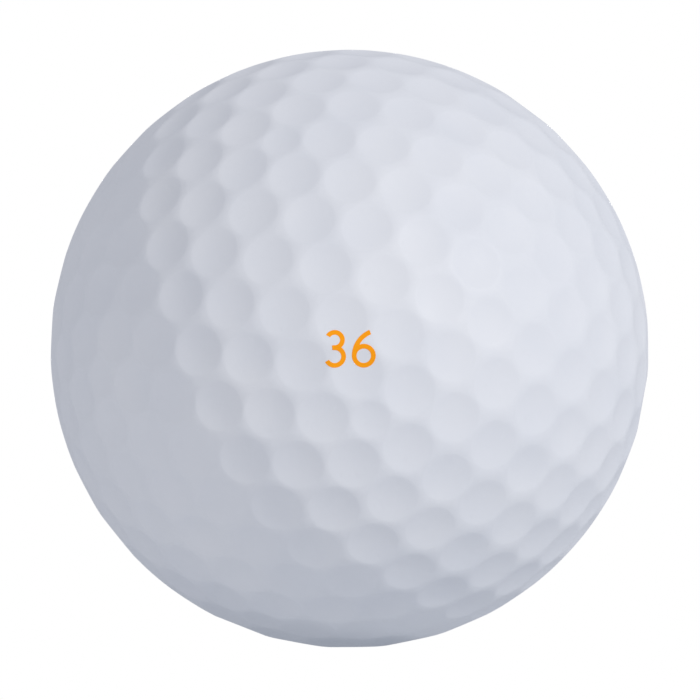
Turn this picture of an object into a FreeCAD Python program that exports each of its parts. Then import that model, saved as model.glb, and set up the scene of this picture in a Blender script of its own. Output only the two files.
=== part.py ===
import FreeCAD, Part
import math
import os

# Golf ball, in millimetres, +Z up, origin at the centre of the ball.
# The printed play number faces -Y.
# From the inside out: solid core, casing, dimpled cover, printed digits, clear coat.

os.makedirs("parts", exist_ok=True)
doc = FreeCAD.newDocument("golf_ball")

# Driving dimensions: alias, value, meaning.
SIZES = [
    ("ball_diameter", 42.70, "finished ball, over the clear coat"),
    ("coat_thickness", 0.04, "clear coat"),
    ("ink_thickness", 0.02, "printed ink film"),
    ("cover_thickness", 0.76, "cover, between the dimples"),
    ("casing_thickness", 0.89, "casing round the core"),
    ("large_dimple_width", 3.78, "rim diameter of the common dimple"),
    ("large_dimple_depth", 0.25, "below the unbroken sphere"),
    ("small_dimple_width", 2.80, "rim diameter of the twelve corner dimples"),
    ("small_dimple_depth", 0.175, "below the unbroken sphere"),
    ("pole_azimuth", 213.4, "direction of the dimple pattern's pole"),
    ("pole_elevation", -5.6, "height of the pole above level"),
    ("pattern_spin", 5.4, "turn of the pattern about its pole"),
    ("ring_angle", 60.0, "pole to the ring of five corner dimples"),
    ("band_twist", 42.0, "turn of the far ring against the near ring"),
    ("digit_height", 2.71, "height of the printed digits"),
    ("stroke_width", 0.34, "printed stroke"),
    ("digit_gap", 0.42, "between the two digits"),
    ("three_top_radius", 0.72, "outside of the three's upper bowl"),
    ("three_sweep", 255.0, "arc of each bowl of the three"),
    ("three_tip_angle", 150.0, "tips of the three, round from its right side"),
    ("six_bowl_radius", 0.855, "outside of the six's bowl"),
    ("six_stem_radius", 2.00, "outside of the six's stem"),
    ("six_stem_sweep", 68.0, "arc of the six's stem"),
    ("outline_reach", 1.0, "depth of the digit outlines inside the ball"),
    ("outline_proud", 0.5, "height of the digit outlines outside the ball"),
]

sheet = doc.addObject("Spreadsheet::Sheet", "Sizes")
for row, (alias, value, meaning) in enumerate(SIZES, start=1):
    sheet.set("A%d" % row, alias)
    sheet.set("B%d" % row, "%g" % value)
    sheet.set("C%d" % row, meaning)
    sheet.setAlias("B%d" % row, alias)
doc.recompute()


def size(alias):
    return float(sheet.get(alias))


# Dimple pattern: 392 dimples. Two caps of an icosahedron divided six times, with a band
# of six rows of thirty between them. The twelve corner dimples are the small ones.
STEPS_PER_EDGE = 6
SIDES = 5
BAND_ROWS = 6
ROW_COUNT = SIDES * STEPS_PER_EDGE

# Evening out of the lands: neighbours push each other until the lands are alike.
EVENING_ROUNDS = 60
EVENING_STEP = 0.004
PUSH_POWER = 10
MEAN_SPACING = 0.19
NEIGHBOUR_REACH = 0.304
CORNER_SHARE = 0.75

# Cutter clearance round the dimple rim, and cutter height over the ball.
RIM_CLEARANCE = 0.05
CUTTER_PROUD = 0.30

# Dimples this near the front, in degrees, can lie under the printed digits.
PRINT_CONE = 18.0

HALF_TURN = 180
FULL_TURN = 360

UP = FreeCAD.Vector(0, 0, 1)
ACROSS = FreeCAD.Vector(0, 1, 0)
ALONG = FreeCAD.Vector(1, 0, 0)
FRONT = FreeCAD.Vector(0, -1, 0)


def direction(polar, turn):
    return FreeCAD.Vector(math.sin(polar) * math.cos(turn), math.sin(polar) * math.sin(turn), math.cos(polar))


def between(start, end, share):
    angle = start.getAngle(end)
    mixed = start * math.sin((1 - share) * angle) + end * math.sin(share * angle)
    return mixed * (1 / math.sin(angle))


def cap_rows(turn, upward):
    """Directions of one cap, the pole first; True marks a corner dimple."""
    ring = math.radians(size("ring_angle"))
    corners = [direction(ring, turn + 2 * math.pi * side / SIDES) for side in range(SIDES)]
    dimples = [(UP, True)]
    for row in range(1, STEPS_PER_EDGE + 1):
        for side in range(SIDES):
            start = between(UP, corners[side], row / STEPS_PER_EDGE)
            end = between(UP, corners[(side + 1) % SIDES], row / STEPS_PER_EDGE)
            for place in range(row):
                corner = row == STEPS_PER_EDGE and place == 0
                dimples.append((between(start, end, place / row), corner))
    if upward:
        return dimples
    return [(FreeCAD.Vector(spot.x, spot.y, -spot.z), corner) for spot, corner in dimples]


def band_rows():
    ring = math.radians(size("ring_angle"))
    dimples = []
    for row in range(1, BAND_ROWS + 1):
        polar = ring + (math.pi - 2 * ring) * row / (BAND_ROWS + 1)
        for place in range(ROW_COUNT):
            dimples.append((direction(polar, 2 * math.pi * (place + 0.5 * row) / ROW_COUNT), False))
    return dimples


def evened(dimples):
    spots = [FreeCAD.Vector(spot).normalize() for spot, corner in dimples]
    share = [CORNER_SHARE if corner else 1.0 for spot, corner in dimples]
    count = len(spots)
    near = math.cos(NEIGHBOUR_REACH)
    pairs = [(i, j) for i in range(count) for j in range(i) if spots[i].dot(spots[j]) > near]
    for _ in range(EVENING_ROUNDS):
        push = [FreeCAD.Vector() for _ in spots]
        for i, j in pairs:
            gap = spots[i] - spots[j]
            wanted = MEAN_SPACING * (share[i] + share[j]) / 2
            force = gap.normalize() * (wanted / spots[i].getAngle(spots[j])) ** PUSH_POWER
            push[i] += force
            push[j] -= force
        spots = [(spot + shove * EVENING_STEP).normalize() for spot, shove in zip(spots, push)]
    return [(spot, corner) for spot, (_, corner) in zip(spots, dimples)]


def dimple_pattern():
    twist = math.radians(size("band_twist"))
    dimples = cap_rows(0.0, True) + band_rows() + cap_rows(twist, False)
    pose = FreeCAD.Rotation(UP, size("pole_azimuth"))
    pose = pose * FreeCAD.Rotation(ACROSS, 90 - size("pole_elevation"))
    pose = pose * FreeCAD.Rotation(UP, size("pattern_spin"))
    return [(pose.multVec(spot), corner) for spot, corner in evened(dimples)]


def dimple_sphere(width, depth):
    """Centre distance and radius of the sphere that presses one dimple into the ball."""
    ball = size("ball_diameter") / 2
    floor = ball - depth
    rim = math.sqrt(ball ** 2 - (width / 2) ** 2)
    radius = (ball ** 2 + floor ** 2 - 2 * floor * rim) / (2 * (rim - floor))
    return floor + radius, radius


def dimple_cutter(width, depth, skin):
    """One dimple cutter along +Z, for a surface lying skin below the finished ball."""
    centre, radius = dimple_sphere(width, depth)
    radius += skin
    reach = width / 2 + RIM_CLEARANCE
    top = size("ball_diameter") / 2 + CUTTER_PROUD
    floor = FreeCAD.Vector(0, 0, centre - radius)
    half = FreeCAD.Vector(reach / 2, 0, centre - math.sqrt(radius ** 2 - (reach / 2) ** 2))
    edge = FreeCAD.Vector(reach, 0, centre - math.sqrt(radius ** 2 - reach ** 2))
    shoulder = FreeCAD.Vector(reach, 0, top)
    crown = FreeCAD.Vector(0, 0, top)
    arc = Part.Arc(floor, half, edge).toShape()
    walls = [Part.makeLine(edge, shoulder), Part.makeLine(shoulder, crown), Part.makeLine(crown, floor)]
    profile = Part.Face(Part.Wire([arc] + walls))
    return profile.revolve(FreeCAD.Vector(), UP, FULL_TURN)


def add_cutters(name, dimples, skin):
    large = dimple_cutter(size("large_dimple_width"), size("large_dimple_depth"), skin)
    small = dimple_cutter(size("small_dimple_width"), size("small_dimple_depth"), skin)
    shapes = []
    for spot, corner in dimples:
        cutter = (small if corner else large).copy()
        cutter.Placement = FreeCAD.Placement(FreeCAD.Vector(), FreeCAD.Rotation(UP, spot))
        shapes.append(cutter)
    feature = doc.addObject("Part::Feature", name)
    feature.Shape = Part.makeCompound(shapes)
    feature.Placement = FreeCAD.Placement()
    return feature


def add_sphere(name, radius):
    sphere = doc.addObject("Part::Sphere", name)
    sphere.setExpression("Radius", radius)
    sphere.Placement = FreeCAD.Placement()
    return sphere


def add_cut(name, base, tool):
    cut = doc.addObject("Part::Cut", name)
    cut.Base = base
    cut.Tool = tool
    cut.Placement = FreeCAD.Placement()
    return cut


def add_fuse(name, members):
    fuse = doc.addObject("Part::MultiFuse", name)
    fuse.Shapes = members
    fuse.Placement = FreeCAD.Placement()
    return fuse


def add_rod(name, radius, x, z, start, sweep):
    """A round rod, or a slice of one, running through the front of the ball along -Y."""
    rod = doc.addObject("Part::Cylinder", name)
    turn = FreeCAD.Rotation(ALONG, 90) * FreeCAD.Rotation(UP, start)
    rod.Placement = FreeCAD.Placement(FreeCAD.Vector(), turn)
    rod.setExpression("Radius", radius)
    rod.setExpression("Angle", sweep)
    rod.setExpression("Height", "Sizes.outline_reach + Sizes.outline_proud")
    rod.setExpression(".Placement.Base.x", x)
    rod.setExpression(".Placement.Base.y", "Sizes.outline_reach - Sizes.ball_diameter / 2")
    rod.setExpression(".Placement.Base.z", z)
    return rod


def add_stroke(name, radius, x, z, start, sweep):
    """A curved pen stroke of the printed width, its outer edge at the given radius."""
    outer = add_rod(name + "_outer", radius, x, z, start, sweep)
    inner = add_rod(name + "_inner", radius + " - Sizes.stroke_width", x, z, 0, str(FULL_TURN))
    return add_cut(name, outer, inner)


# ---------------------------------------------------------------- layers
BALL = "Sizes.ball_diameter / 2"
COVER = BALL + " - Sizes.coat_thickness"
CASING = COVER + " - Sizes.cover_thickness"
CORE = CASING + " - Sizes.casing_thickness"

pattern = dimple_pattern()

core = add_sphere("core", CORE)
casing_sphere = add_sphere("casing_sphere", CASING)
casing_layer = add_cut("casing_layer", casing_sphere, core)

cover_sphere = add_sphere("cover_sphere", COVER)
cover_cutters = add_cutters("cover_cutters", pattern, size("coat_thickness"))
moulded_ball = add_cut("moulded_ball", cover_sphere, cover_cutters)
cover = add_cut("cover", moulded_ball, casing_sphere)

coat_sphere = add_sphere("coat_sphere", BALL)
coat_cutters = add_cutters("coat_cutters", pattern, 0.0)
coated_ball = add_cut("coated_ball", coat_sphere, coat_cutters)

# ---------------------------------------------------------------- printed digits
# The ink film follows the cover, so it is cut from a skin one ink film above it.
cone = math.radians(PRINT_CONE)
near_print = [(spot, corner) for spot, corner in pattern if spot.getAngle(FRONT) < cone]
ink_sphere = add_sphere("ink_sphere", COVER + " + Sizes.ink_thickness")
ink_cutters = add_cutters("ink_cutters", near_print, size("coat_thickness") - size("ink_thickness"))
ink_skin = add_cut("ink_skin", ink_sphere, ink_cutters)

LOW_BOWL = "((Sizes.digit_height + Sizes.stroke_width) / 2 - Sizes.three_top_radius)"
HALF_PRINT = "(" + LOW_BOWL + " + Sizes.six_bowl_radius + Sizes.digit_gap / 2)"
THREE_X = "-" + HALF_PRINT + " + " + LOW_BOWL
SIX_X = HALF_PRINT + " - Sizes.six_bowl_radius"
HALF_HEIGHT = "Sizes.digit_height / 2"

three_top_start = size("three_tip_angle") - size("three_sweep")
three_low_start = -size("three_tip_angle")
three_top = add_stroke("three_top", "Sizes.three_top_radius", THREE_X,
                       HALF_HEIGHT + " - Sizes.three_top_radius", three_top_start, "Sizes.three_sweep")
three_low = add_stroke("three_low", LOW_BOWL, THREE_X,
                       LOW_BOWL + " - " + HALF_HEIGHT, three_low_start, "Sizes.three_sweep")
three_outline = add_fuse("three_outline", [three_top, three_low])

BOWL_Z = "Sizes.six_bowl_radius - " + HALF_HEIGHT
STEM_X = SIX_X + " + Sizes.six_stem_radius - Sizes.six_bowl_radius"
six_bowl = add_stroke("six_bowl", "Sizes.six_bowl_radius", SIX_X, BOWL_Z, 0, str(FULL_TURN))
six_stem = add_stroke("six_stem", "Sizes.six_stem_radius", STEM_X, BOWL_Z,
                      HALF_TURN - size("six_stem_sweep"), "Sizes.six_stem_sweep")
six_outline = add_fuse("six_outline", [six_bowl, six_stem])


def add_print(name, outline):
    film = doc.addObject("Part::Common", name + "_film")
    film.Base = outline
    film.Tool = ink_skin
    film.Placement = FreeCAD.Placement()
    return add_cut(name, film, moulded_ball)


number_tens = add_print("number_tens", three_outline)
number_units = add_print("number_units", six_outline)

# ---------------------------------------------------------------- clear coat
bare_coat = add_cut("bare_coat", coated_ball, moulded_ball)
printed_number = add_fuse("printed_number", [number_tens, number_units])
clear_coat = add_cut("clear_coat", bare_coat, printed_number)

NODES = [core, casing_layer, cover, number_tens, number_units, clear_coat]

doc.recompute()

for item in doc.Objects:
    if "Invalid" in item.State or "Error" in item.State:
        raise RuntimeError("%s did not build: %s" % (item.Name, item.State))

for node in NODES:
    node.Label = node.Name
    if node.Shape.isNull() or not node.Shape.isValid():
        raise RuntimeError("%s has no valid shape" % node.Label)

for node in NODES:
    node.Shape.exportStep("parts/%s.step" % node.Label)
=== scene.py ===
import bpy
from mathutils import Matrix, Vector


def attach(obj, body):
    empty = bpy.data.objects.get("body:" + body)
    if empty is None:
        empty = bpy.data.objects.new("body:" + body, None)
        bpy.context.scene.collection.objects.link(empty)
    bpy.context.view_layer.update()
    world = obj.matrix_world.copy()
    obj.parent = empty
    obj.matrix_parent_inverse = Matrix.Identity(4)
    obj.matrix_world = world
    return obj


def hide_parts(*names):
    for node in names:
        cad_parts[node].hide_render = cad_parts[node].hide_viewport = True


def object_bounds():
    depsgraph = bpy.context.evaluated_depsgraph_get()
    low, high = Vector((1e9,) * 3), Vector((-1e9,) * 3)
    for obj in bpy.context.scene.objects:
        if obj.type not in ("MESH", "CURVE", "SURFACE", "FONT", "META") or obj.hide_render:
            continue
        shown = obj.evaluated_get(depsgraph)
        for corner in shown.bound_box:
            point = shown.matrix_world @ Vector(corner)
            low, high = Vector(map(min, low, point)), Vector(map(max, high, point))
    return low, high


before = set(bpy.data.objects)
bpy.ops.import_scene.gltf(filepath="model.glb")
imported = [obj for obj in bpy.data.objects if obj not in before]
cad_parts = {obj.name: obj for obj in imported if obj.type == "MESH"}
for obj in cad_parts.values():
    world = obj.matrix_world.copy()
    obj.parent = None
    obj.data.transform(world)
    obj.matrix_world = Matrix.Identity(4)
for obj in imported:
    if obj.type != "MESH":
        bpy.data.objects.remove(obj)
CAD_BOX = [list(corner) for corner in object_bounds()]

import math

import bpy
import numpy as np
from mathutils import Vector
from mathutils.geometry import delaunay_2d_cdt

MM = 0.001
QUARTER_TURN, HALF_TURN, FULL_TURN = 90, 180, 360

# ---------------------------------------------------------------- sizes, millimetres and degrees
BALL_RADIUS = 21.35
LARGE_WIDTH, LARGE_DEPTH = 3.78, 0.25
SMALL_WIDTH, SMALL_DEPTH = 2.80, 0.175
RIM_SOFTNESS = 0.020
POLE_AZIMUTH, POLE_ELEVATION, PATTERN_SPIN = 213.4, -5.6, 5.4
RING_ANGLE, BAND_TWIST = 60.0, 42.0
STEPS_PER_EDGE, SIDES, BAND_ROWS = 6, 5, 6

# Evening out of the lands: neighbours push each other until the lands are alike.
EVENING_ROUNDS, EVENING_STEP, PUSH_POWER = 60, 0.004, 10
MEAN_SPACING, NEIGHBOUR_REACH = 0.19, 0.304
CORNER_SHARE = 0.75

# Working values: directions taken at once, degrees from a dimple's centre within which it is
# looked at, the step across the surface for a normal, and the gap under which points are one.
BATCH = 8000
DIMPLE_REACH = 8.5
NORMAL_STEP = 0.0008
MERGE_GAP = 1e-7
NEARLY_UPRIGHT = 0.9

DIGIT_HEIGHT, STROKE, DIGIT_GAP = 2.71, 0.34, 0.42
THREE_TOP_RADIUS, THREE_SWEEP, THREE_TIP = 0.72, 255.0, 150.0
SIX_BOWL_RADIUS, SIX_STEM_RADIUS, SIX_STEM_SWEEP = 0.855, 2.00, 68.0
INK_PROUD = 0.010
INK_FILM = 0.020
INK_GRID = 0.035
INK_MARGIN = 2 * INK_GRID

FLOOR_REACH, FLOOR_GLOW = 1.5, 0.262
AMBIENT_STRENGTH = 0.486
VIEW_WIDTH = 49.933
VIEW_SHIFT = (0.00057, -0.00171)
CAMERA_DISTANCE, VIEW_END = 0.5, 10


# ---------------------------------------------------------------- dimple pattern
def direction(polar, turn):
    across = math.sin(polar)
    return np.array([across * math.cos(turn), across * math.sin(turn), math.cos(polar)])


def between(start, end, share):
    """The direction a share of the way round from start to end."""
    angle = math.acos(float(np.clip(start @ end, -1, 1)))
    return (math.sin((1 - share) * angle) * start + math.sin(share * angle) * end) / math.sin(angle)


def cap(turn, side_up):
    """Directions of one cap, the pole first, and which of them are small corner dimples."""
    ring = math.radians(RING_ANGLE)
    pole = np.array([0.0, 0.0, 1.0])
    corners = [direction(ring, turn + 2 * math.pi * side / SIDES) for side in range(SIDES)]
    spots, small = [pole], [True]
    for row in range(1, STEPS_PER_EDGE + 1):
        for side in range(SIDES):
            start = between(pole, corners[side], row / STEPS_PER_EDGE)
            end = between(pole, corners[(side + 1) % SIDES], row / STEPS_PER_EDGE)
            for place in range(row):
                spots.append(between(start, end, place / row))
                small.append(row == STEPS_PER_EDGE and place == 0)
    return np.array(spots) * [1, 1, side_up], small


def band():
    """Directions of the rows between the caps."""
    ring = math.radians(RING_ANGLE)
    per_row = SIDES * STEPS_PER_EDGE
    spots = []
    for row in range(1, BAND_ROWS + 1):
        polar = ring + (math.pi - 2 * ring) * row / (BAND_ROWS + 1)
        for place in range(per_row):
            spots.append(direction(polar, 2 * math.pi * (place + 0.5 * row) / per_row))
    return np.array(spots), [False] * len(spots)


def evened(spots, share):
    """The same directions, pushed apart by their neighbours."""
    near = np.triu(spots @ spots.T > math.cos(NEIGHBOUR_REACH), 1)
    first, second = np.nonzero(near)
    for _ in range(EVENING_ROUNDS):
        gap = spots[first] - spots[second]
        apart = np.arccos(np.clip((spots[first] * spots[second]).sum(1), -1, 1))
        wanted = MEAN_SPACING * (share[first] + share[second]) / 2
        force = gap / np.linalg.norm(gap, axis=1)[:, None] * ((wanted / apart) ** PUSH_POWER)[:, None]
        push = np.zeros_like(spots)
        np.add.at(push, first, force)
        np.add.at(push, second, -force)
        spots = spots + EVENING_STEP * push
        spots = spots / np.linalg.norm(spots, axis=1)[:, None]
    return spots


def turn_about_z(degrees):
    c, s = math.cos(math.radians(degrees)), math.sin(math.radians(degrees))
    return np.array([[c, -s, 0], [s, c, 0], [0, 0, 1]])


def turn_about_y(degrees):
    c, s = math.cos(math.radians(degrees)), math.sin(math.radians(degrees))
    return np.array([[c, 0, s], [0, 1, 0], [-s, 0, c]])


near_cap, near_small = cap(0.0, 1)
middle, middle_small = band()
far_cap, far_small = cap(math.radians(BAND_TWIST), -1)
SMALL = np.array(near_small + middle_small + far_small)
POSE = turn_about_z(POLE_AZIMUTH) @ turn_about_y(QUARTER_TURN - POLE_ELEVATION) @ turn_about_z(PATTERN_SPIN)
SPOTS = evened(np.vstack([near_cap, middle, far_cap]), np.where(SMALL, CORNER_SHARE, 1.0)) @ POSE.T


def press(width, depth):
    """Centre distance and radius of the sphere that presses a dimple of this width and depth."""
    floor = BALL_RADIUS - depth
    rim = math.sqrt(BALL_RADIUS ** 2 - (width / 2) ** 2)
    radius = (BALL_RADIUS ** 2 + floor ** 2 - 2 * floor * rim) / (2 * (rim - floor))
    return floor + radius, radius


LARGE_PRESS, SMALL_PRESS = press(LARGE_WIDTH, LARGE_DEPTH), press(SMALL_WIDTH, SMALL_DEPTH)
PRESS_AT = np.where(SMALL, SMALL_PRESS[0], LARGE_PRESS[0])
PRESS_RADIUS = np.where(SMALL, SMALL_PRESS[1], LARGE_PRESS[1])


def sink(way):
    """Depth of the ball's surface below the unbroken sphere along unit vectors, rims rounded."""
    depth = np.zeros(len(way))
    for start in range(0, len(way), BATCH):
        part = way[start:start + BATCH]
        cosine = part @ SPOTS.T
        row, spot = np.nonzero(cosine > math.cos(math.radians(DIMPLE_REACH)))
        near = cosine[row, spot]
        at, radius = PRESS_AT[spot], PRESS_RADIUS[spot]
        inside = np.maximum(radius ** 2 - at ** 2 * (1 - near ** 2), 0.0)
        below = BALL_RADIUS - (at * near - np.sqrt(inside))
        below = np.where(inside > 0, below, -1.0)
        soft = 0.5 * (below + np.sqrt(below ** 2 + 4 * RIM_SOFTNESS ** 2))
        np.add.at(depth, start + row, soft)
    return depth


def surface(way, proud=0.0):
    """Points of the ball's surface along unit vectors, or a little proud of it."""
    return way * (BALL_RADIUS - sink(way) + proud)[:, None]


def frame_at(way):
    """Two unit vectors across each direction."""
    helper = np.where(np.abs(way[:, 2:]) < NEARLY_UPRIGHT, [[0.0, 0.0, 1.0]], [[1.0, 0.0, 0.0]])
    side = np.cross(helper, way)
    side = side / np.linalg.norm(side, axis=1)[:, None]
    return side, np.cross(way, side)


def surface_normals(way):
    side, up = frame_at(way)
    around = []
    for across in (side, -side, up, -up):
        moved = way + NORMAL_STEP * across
        around.append(surface(moved / np.linalg.norm(moved, axis=1)[:, None]))
    normal = np.cross(around[0] - around[1], around[2] - around[3])
    return normal / np.linalg.norm(normal, axis=1)[:, None]


def new_object(name, points, faces, normals=None):
    mesh = bpy.data.meshes.new(name)
    mesh.from_pydata((np.asarray(points) * MM).tolist(), [], faces)
    mesh.validate()
    mesh.polygons.foreach_set("use_smooth", [True] * len(mesh.polygons))
    if normals is not None:
        mesh.normals_split_custom_set_from_vertices(np.asarray(normals).tolist())
    mesh.update()
    made = bpy.data.objects.new(name, mesh)
    bpy.context.scene.collection.objects.link(made)
    return made


# ---------------------------------------------------------------- dimpled ball
# Rings of points round each dimple: share of the way to its rim, and points on the ring.
RINGS = [(0.30, 16), (0.52, 32), (0.70, 32), (0.83, 32), (0.92, 32), (0.98, 32), (1.02, 32)]


def dimple_rings():
    """Directions of every dimple's rings, the faces between them, and each outer ring's places."""
    side, up = frame_at(SPOTS)
    way, faces, rims = [], [], []
    for spot in range(len(SPOTS)):
        half = math.asin((SMALL_WIDTH if SMALL[spot] else LARGE_WIDTH) / 2 / BALL_RADIUS)
        base = len(way)
        way.append(SPOTS[spot])
        previous = None
        for share, count in RINGS:
            start = len(way)
            for place in range(count):
                turn = 2 * math.pi * place / count
                across = math.cos(turn) * side[spot] + math.sin(turn) * up[spot]
                way.append(math.cos(half * share) * SPOTS[spot] + math.sin(half * share) * across)
            here = list(range(start, start + count))
            if previous is None:
                faces += [(base, here[k], here[(k + 1) % count]) for k in range(count)]
            elif len(previous) == count:
                for k in range(count):
                    n = (k + 1) % count
                    faces.append((previous[k], here[k], here[n], previous[n]))
            else:
                for k in range(len(previous)):
                    n = (k + 1) % len(previous)
                    a, b, c = here[2 * k], here[2 * k + 1], here[(2 * k + 2) % count]
                    faces += [(previous[k], a, b), (previous[k], b, previous[n]), (previous[n], b, c)]
            previous = here
        rims.append(previous)
    return np.array(way), faces, rims


def land_faces(way, rims):
    """Triangles over the lands between the dimples' outer rings.

    The sphere is laid flat by stereographic projection from the last dimple's centre, so that
    dimple becomes the outside of the flat map.
    """
    places = [place for rim in rims for place in rim]
    owner = [spot for spot, rim in enumerate(rims) for _ in rim]
    away = SPOTS[-1]
    side, up = frame_at(away[None, :])
    flat = []
    for place in places:
        point = way[place]
        scale = 2 / (1 - point @ away)
        flat.append(Vector((float(point @ side[0]) * scale, float(point @ up[0]) * scale)))
    out = delaunay_2d_cdt(flat, [], [], 0, MERGE_GAP)
    merged = {new: old[0] for new, old in enumerate(out[3])}
    faces = []
    for face in out[2]:
        a, b, c = (merged[v] for v in face)
        if owner[a] == owner[b] == owner[c]:
            continue
        a, b, c = places[a], places[b], places[c]
        outward = np.cross(way[b] - way[a], way[c] - way[a]) @ way[a]
        faces.append((a, b, c) if outward > 0 else (a, c, b))
    return faces


way, faces, rims = dimple_rings()
faces += land_faces(way, rims)
ball = new_object("dimpled_ball", surface(way), faces, surface_normals(way))


# ---------------------------------------------------------------- printed digits
def arc(x, z, centre, radius, start, sweep):
    """Signed distance to a pen stroke along an arc, its outer edge at radius."""
    dx, dz = x - centre[0], z - centre[1]
    reach = np.hypot(dx, dz)
    band_gap = np.abs(reach - (radius - STROKE / 2)) - STROKE / 2
    if sweep >= FULL_TURN:
        return band_gap
    turn = (np.degrees(np.arctan2(dz, dx)) - start) % FULL_TURN
    over = np.minimum(turn - sweep, FULL_TURN - turn)
    under = np.minimum(turn, sweep - turn)
    past = np.where(turn > sweep, over, -under)
    return np.maximum(band_gap, reach * np.sin(np.radians(np.clip(past, -QUARTER_TURN, QUARTER_TURN))))


LOW_BOWL = (DIGIT_HEIGHT + STROKE) / 2 - THREE_TOP_RADIUS
HALF_PRINT = LOW_BOWL + SIX_BOWL_RADIUS + DIGIT_GAP / 2
HALF_HEIGHT = DIGIT_HEIGHT / 2


def three(x, z):
    across = LOW_BOWL - HALF_PRINT
    top_level = HALF_HEIGHT - THREE_TOP_RADIUS
    low_level = LOW_BOWL - HALF_HEIGHT
    top = arc(x, z, (across, top_level), THREE_TOP_RADIUS, THREE_TIP - THREE_SWEEP, THREE_SWEEP)
    low = arc(x, z, (across, low_level), LOW_BOWL, -THREE_TIP, THREE_SWEEP)
    return np.minimum(top, low)


def six(x, z):
    across = HALF_PRINT - SIX_BOWL_RADIUS
    level = SIX_BOWL_RADIUS - HALF_HEIGHT
    bowl = arc(x, z, (across, level), SIX_BOWL_RADIUS, 0, FULL_TURN)
    middle = across + SIX_STEM_RADIUS - SIX_BOWL_RADIUS
    stem = arc(x, z, (middle, level), SIX_STEM_RADIUS, HALF_TURN - SIX_STEM_SWEEP, SIX_STEM_SWEEP)
    return np.minimum(bowl, stem)


def faces_inside(gx, gz, inside):
    """Points and faces over the part of a grid where inside is positive, cut along its edge."""
    points, places, faces = [], {}, []

    def corner(key):
        if key not in places:
            places[key] = len(points)
            points.append((gx[key], gz[key]))
        return places[key]

    def crossing(a, b):
        key = (min(a, b), max(a, b))
        if key not in places:
            share = inside[a] / (inside[a] - inside[b])
            places[key] = len(points)
            points.append((gx[a] + share * (gx[b] - gx[a]), gz[a] + share * (gz[b] - gz[a])))
        return places[key]

    def clipped(triangle):
        outline = []
        for k in range(3):
            here, after = triangle[k], triangle[(k + 1) % 3]
            if inside[here] > 0:
                outline.append(corner(here))
            if (inside[here] > 0) != (inside[after] > 0):
                outline.append(crossing(here, after))
        return outline

    rows, columns = inside.shape
    for row in range(rows - 1):
        for column in range(columns - 1):
            a, b = (row, column), (row, column + 1)
            c, d = (row + 1, column), (row + 1, column + 1)
            faces += [outline for outline in map(clipped, ((a, b, d), (a, d, c))) if outline]
    return np.array(points), faces


def print_digit(name, shape, left, right):
    """An ink film over the ball's surface, trimmed to the digit's outline."""
    columns = int((right - left + 2 * INK_MARGIN) / INK_GRID) + 2
    rows = int((DIGIT_HEIGHT + 2 * INK_MARGIN) / INK_GRID) + 2
    xs = left - INK_MARGIN + INK_GRID * np.arange(columns)
    zs = -HALF_HEIGHT - INK_MARGIN + INK_GRID * np.arange(rows)
    gx, gz = np.meshgrid(xs, zs)
    flat, faces = faces_inside(gx, gz, -shape(gx, gz))
    front = -np.sqrt(BALL_RADIUS ** 2 - (flat ** 2).sum(1))
    way = np.column_stack([flat[:, 0], front, flat[:, 1]]) / BALL_RADIUS
    made = new_object(name, surface(way, INK_PROUD), faces)
    film = made.modifiers.new("film", "SOLIDIFY")
    film.thickness = INK_FILM * MM
    film.offset = -1
    return made


tens = print_digit("digit_three", three, -HALF_PRINT, 2 * LOW_BOWL - HALF_PRINT)
units = print_digit("digit_six", six, HALF_PRINT - 2 * SIX_BOWL_RADIUS, HALF_PRINT)


# ---------------------------------------------------------------- materials
RAMP_ENDS = (0.3, 0.7)
CLOUD_DETAIL, GRAIN_DETAIL = 4.0, 2.0


def material(name):
    made = bpy.data.materials.new(name)
    made.use_nodes = True
    return made, made.node_tree.nodes, made.node_tree.links, made.node_tree.nodes["Principled BSDF"]


def noise(nodes, links, coords, scale, detail):
    made = nodes.new("ShaderNodeTexNoise")
    made.inputs["Scale"].default_value = scale
    made.inputs["Detail"].default_value = detail
    links.new(coords, made.inputs["Vector"])
    return made.outputs["Fac"]


def ramp(nodes, links, fac, low, high):
    made = nodes.new("ShaderNodeValToRGB")
    links.new(fac, made.inputs["Fac"])
    for stop, position, colour in zip(made.color_ramp.elements, RAMP_ENDS, (low, high)):
        stop.position, stop.color = position, (*colour, 1)
    return made.outputs["Color"]


def spread(nodes, links, fac, low, high):
    made = nodes.new("ShaderNodeMapRange")
    made.inputs["To Min"].default_value = low
    made.inputs["To Max"].default_value = high
    links.new(fac, made.inputs["Value"])
    return made.outputs["Result"]


def bump(nodes, links, fac, distance, shader):
    made = nodes.new("ShaderNodeBump")
    made.inputs["Strength"].default_value = 1.0
    made.inputs["Distance"].default_value = distance
    links.new(fac, made.inputs["Height"])
    links.new(made.outputs["Normal"], shader.inputs["Normal"])


def layered_material(name, low, high, rough, cloud, grain, bump_depth):
    """Colour in soft clouds from low to high, with a fine grain in roughness and bump."""
    made, nodes, links, shader = material(name)
    coords = nodes.new("ShaderNodeTexCoord").outputs["Object"]
    clouds = noise(nodes, links, coords, cloud, CLOUD_DETAIL)
    grains = noise(nodes, links, coords, grain, GRAIN_DETAIL)
    links.new(ramp(nodes, links, clouds, low, high), shader.inputs["Base Color"])
    links.new(spread(nodes, links, grains, *rough), shader.inputs["Roughness"])
    bump(nodes, links, grains, bump_depth, shader)
    return made, shader.inputs


def white_urethane():
    made, sockets = layered_material(
        "white_urethane", low=(0.80, 0.825, 0.875), high=(0.84, 0.86, 0.90),
        rough=(0.58, 0.70), cloud=140, grain=2600, bump_depth=0.0000015)
    sockets["Coat Weight"].default_value = 0.04
    sockets["Coat Roughness"].default_value = 0.30
    sockets["IOR"].default_value = 1.38
    return made


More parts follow.
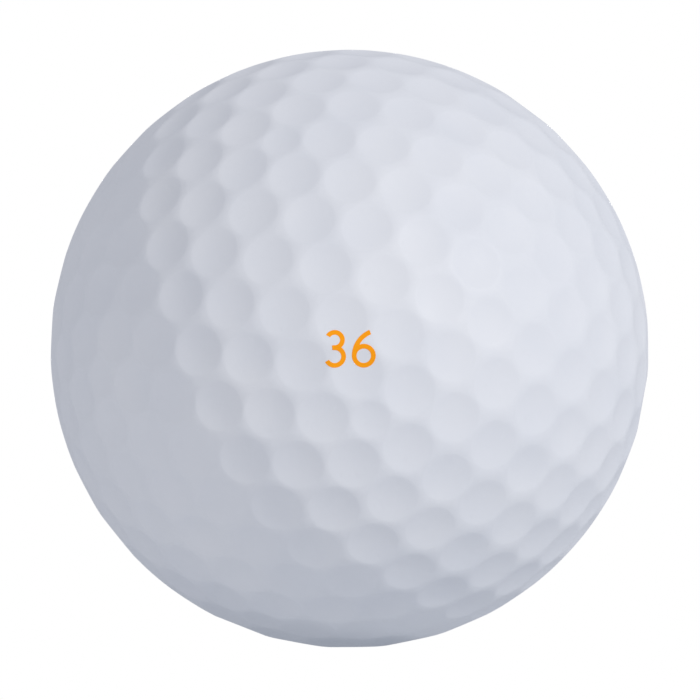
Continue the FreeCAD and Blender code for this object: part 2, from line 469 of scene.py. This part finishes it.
def orange_ink():
    made, sockets = layered_material(
        "orange_ink", low=(0.97, 0.345, 0.0060), high=(1.0, 0.375, 0.0085),
        rough=(0.60, 0.72), cloud=900, grain=5200, bump_depth=0.0000010)
    sockets["Specular IOR Level"].default_value = 0.12
    # The ink also glows faintly orange though it is no lamp: painted light that brightens the printed
    # digits.
    sockets["Emission Color"].default_value = (1.0, 0.28, 0.0, 1)
    sockets["Emission Strength"].default_value = 0.13
    return made


def core_rubber():
    return layered_material(
        "core_rubber", low=(0.40, 0.11, 0.035), high=(0.50, 0.15, 0.05),
        rough=(0.65, 0.85), cloud=180, grain=3000, bump_depth=0.000010)[0]


def casing_ionomer():
    return layered_material(
        "casing_ionomer", low=(0.74, 0.72, 0.64), high=(0.80, 0.78, 0.72),
        rough=(0.35, 0.5), cloud=120, grain=2000, bump_depth=0.000004)[0]


def pale_floor():
    made, sockets = layered_material(
        "pale_floor", low=(0.44, 0.44, 0.45), high=(0.46, 0.46, 0.47),
        rough=(0.8, 0.9), cloud=6, grain=400, bump_depth=0.00002)
    sockets["Emission Color"].default_value = (0.864, 0.914, 1.0, 1)
    sockets["Emission Strength"].default_value = FLOOR_GLOW
    return made


ink = orange_ink()
ball.data.materials.append(white_urethane())
tens.data.materials.append(ink)
units.data.materials.append(ink)
for node, finish in (("core", core_rubber()), ("casing_layer", casing_ionomer())):
    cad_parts[node].data.materials.clear()
    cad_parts[node].data.materials.append(finish)

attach(ball, "root")
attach(tens, "root")
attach(units, "root")
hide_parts("cover", "clear_coat")
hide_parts("number_tens")
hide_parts("number_units")

# ---------------------------------------------------------------- floor, light, camera
def lay_floor():
    mesh = bpy.data.meshes.new("floor")
    corners = [(x * FLOOR_REACH, y * FLOOR_REACH, 0) for x, y in ((-1, -1), (1, -1), (1, 1), (-1, 1))]
    mesh.from_pydata(corners, [], [range(len(corners))])
    made = bpy.data.objects.new("floor", mesh)
    made.location.z = CAD_BOX[0][2]
    made.data.materials.append(pale_floor())
    bpy.context.scene.collection.objects.link(made)
    return made


def light_room():
    """Even light from all round, in front of a plain white backdrop."""
    world = bpy.data.worlds.new("studio")
    bpy.context.scene.world = world
    world.use_nodes = True
    sky = world.node_tree
    ambient = sky.nodes["Background"]
    ambient.inputs["Color"].default_value = (0.870, 0.902, 1.0, 1)
    ambient.inputs["Strength"].default_value = AMBIENT_STRENGTH
    backdrop = sky.nodes.new("ShaderNodeBackground")
    backdrop.inputs["Color"].default_value = (1.0, 1.0, 1.0, 1)
    seen = sky.nodes.new("ShaderNodeLightPath")
    mix = sky.nodes.new("ShaderNodeMixShader")
    sky.links.new(seen.outputs["Is Camera Ray"], mix.inputs["Fac"])
    sky.links.new(ambient.outputs["Background"], mix.inputs[1])
    sky.links.new(backdrop.outputs["Background"], mix.inputs[2])
    sky.links.new(mix.outputs["Shader"], sky.nodes["World Output"].inputs["Surface"])


def lamp(name, kind, toward, distance, power, colour):
    """A lamp out in the given direction, shining at the origin."""
    light = bpy.data.lights.new(name, kind)
    light.energy = power
    light.color = colour
    made = bpy.data.objects.new(name, light)
    place = Vector(toward).normalized() * distance
    made.location = place
    made.rotation_euler = place.to_track_quat("Z", "Y").to_euler()
    bpy.context.scene.collection.objects.link(made)
    made.visible_camera = False
    return light


def softbox(name, toward, distance, width, power, colour):
    light = lamp(name, "AREA", toward, distance, power, colour)
    light.shape = "DISK"
    light.size = width


def front_camera():
    camera = bpy.data.cameras.new("camera")
    camera.type = "ORTHO"
    camera.ortho_scale = VIEW_WIDTH * MM
    camera.shift_x, camera.shift_y = VIEW_SHIFT
    camera.clip_end = VIEW_END
    made = bpy.data.objects.new("camera", camera)
    made.location = (0, -CAMERA_DISTANCE, 0)
    made.rotation_euler = (math.radians(QUARTER_TURN), 0, 0)
    bpy.context.scene.collection.objects.link(made)
    return made


floor = lay_floor()
light_room()

# The key shines from the upper right. The back lamp is level, straight behind the ball.
softbox("key", (0.690, -0.566, 0.451), 0.80, 0.12, 2.57, (1.0, 0.976, 0.947))
softbox("fill", (-0.6, -0.8, 0.1), 0.60, 0.45, 0.56, (1.0, 0.928, 0.850))
softbox("top", (-0.1, 0.6, 0.8), 0.60, 0.45, 0.40, (1.0, 0.960, 0.960))
back = lamp("back", "SUN", (0.0, 1.0, 0.0), 0.80, 1.00, (1.0, 0.985, 0.951))
back.angle = math.radians(6)

bpy.context.scene.camera = front_camera()
bpy.context.scene.view_settings.view_transform = "Standard"
